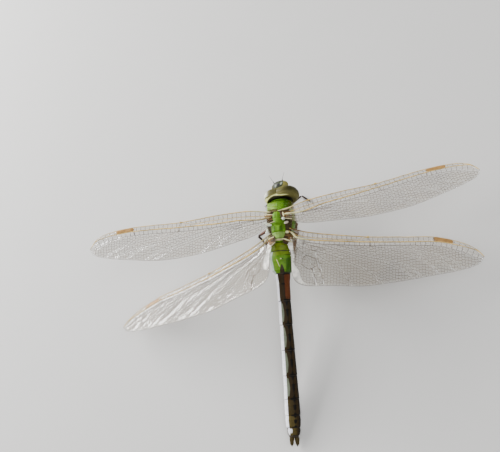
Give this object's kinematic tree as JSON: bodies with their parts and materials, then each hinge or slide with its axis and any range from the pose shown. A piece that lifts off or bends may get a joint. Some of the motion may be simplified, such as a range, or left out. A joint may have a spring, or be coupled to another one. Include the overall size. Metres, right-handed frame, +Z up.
{
  "type": "dragonfly",
  "caption": "Life-size still dragonfly with spread veined wings, large eyes and a long tail, standing on its feet.",
  "frame": {"origin": "on the floor under the middle of the insect's outer box", "axes": "+X to the insect's right across its wings, +Y ahead of its head, +Z up; one millimetre of the real insect is one millimetre here"},
  "size_m": [0.1062, 0.0698, 0.0192],
  "materials": {
    "thorax_green": "satin green shell with pale ridges",
    "head_yellow": "satin dull yellow shell",
    "eye": "glossy olive brown with fine facets",
    "antenna": "dull black",
    "abdomen_green": "satin green shell",
    "abdomen_brown": "glossy dark brown shell with paler flanks",
    "wing": "clear veined film with a tan tint",
    "leg": "glossy dark red brown shell"
  },
  "bodies": {
    "root": {"thorax": "thorax_green", "prothorax": "thorax_green", "head_back": "head_yellow", "frons": "head_yellow", "face": "head_yellow", "labium": "head_yellow", "eye_left": "eye", "eye_right": "eye", "antenna_left": "antenna", "antenna_right": "antenna", "abdomen_1": "abdomen_green", "abdomen_2": "abdomen_green", "abdomen_3": "abdomen_brown", "abdomen_4": "abdomen_brown", "abdomen_5": "abdomen_brown", "abdomen_6": "abdomen_brown", "abdomen_7": "abdomen_brown", "abdomen_8": "abdomen_brown", "abdomen_9": "abdomen_brown", "abdomen_10": "abdomen_brown", "cercus_left": "abdomen_brown", "cercus_right": "abdomen_brown", "forewing_left": "wing", "forewing_right": "wing", "hindwing_left": "wing", "hindwing_right": "wing", "foreleg_left_coxa": "leg", "foreleg_left_femur": "leg", "foreleg_left_tibia": "leg", "foreleg_left_tarsus": "leg", "foreleg_right_coxa": "leg", "foreleg_right_femur": "leg", "foreleg_right_tibia": "leg", "foreleg_right_tarsus": "leg", "midleg_left_coxa": "leg", "midleg_left_femur": "leg", "midleg_left_tibia": "leg", "midleg_left_tarsus": "leg", "midleg_right_coxa": "leg", "midleg_right_femur": "leg", "midleg_right_tibia": "leg", "midleg_right_tarsus": "leg", "hindleg_left_coxa": "leg", "hindleg_left_femur": "leg", "hindleg_left_tibia": "leg", "hindleg_left_tarsus": "leg", "hindleg_right_coxa": "leg", "hindleg_right_femur": "leg", "hindleg_right_tibia": "leg", "hindleg_right_tarsus": "leg"}
  },
  "joints": []
}
